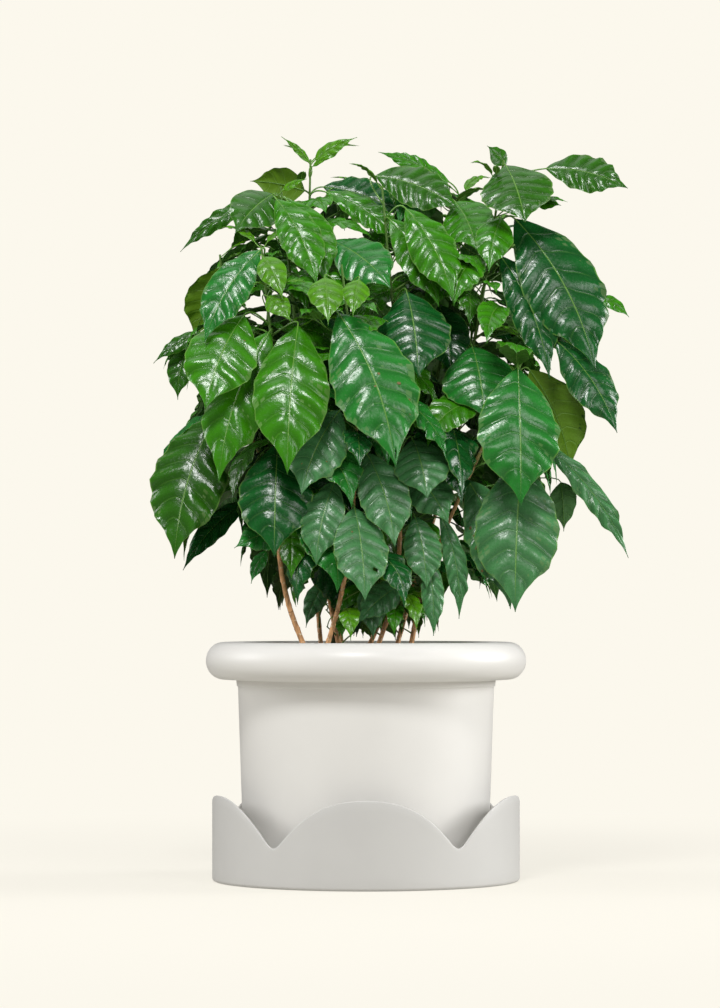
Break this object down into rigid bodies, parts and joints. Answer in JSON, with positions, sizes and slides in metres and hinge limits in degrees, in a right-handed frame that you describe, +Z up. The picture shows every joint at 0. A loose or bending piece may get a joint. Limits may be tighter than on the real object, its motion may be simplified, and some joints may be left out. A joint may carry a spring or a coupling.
{
  "type": "potted coffee plant",
  "caption": "Leafy young coffee plant with several upright stems in a round white pot with a thick rolled rim, standing in a saucer whose edge is cut in deep scallops.",
  "frame": {"origin": "centre of the saucer's flat underside, on the floor, on the pot's axis", "axes": "+Z up along the pot's axis, -Y towards the viewer of the picture, +X to the viewer's right"},
  "size_m": [0.4163, 0.3719, 0.6541],
  "materials": {
    "pot_glaze": "warm white satin glaze, smooth",
    "saucer_sheet": "light grey matte paint on thin sheet",
    "soil": "dark crumbly potting soil",
    "bark": "thin tan bark with pale scars",
    "old_bark": "dark mossy bark",
    "foliage": "glossy green leaves on green twigs"
  },
  "bodies": {
    "root": {"pot": "pot_glaze", "saucer": "saucer_sheet", "soil": "soil", "stem_old": "old_bark", "stem_left_front": "bark", "stem_left_tall": "bark", "stem_left_back": "bark", "stem_left_side": "bark", "stem_centre_front": "bark", "stem_centre_tall": "bark", "stem_right_tall": "bark", "stem_right_side": "bark", "stem_back_right": "bark", "stem_back_left": "bark", "bough_inner_right": "bark", "bough_back_middle": "bark", "foliage_left_front": "foliage", "foliage_left_tall": "foliage", "foliage_left_back": "foliage", "foliage_left_side": "foliage", "foliage_centre_front": "foliage", "foliage_centre_tall": "foliage", "foliage_right_tall": "foliage", "foliage_right_side": "foliage", "foliage_back_right": "foliage", "foliage_back_left": "foliage", "foliage_inner_right": "foliage", "foliage_back_middle": "foliage"}
  },
  "joints": []
}
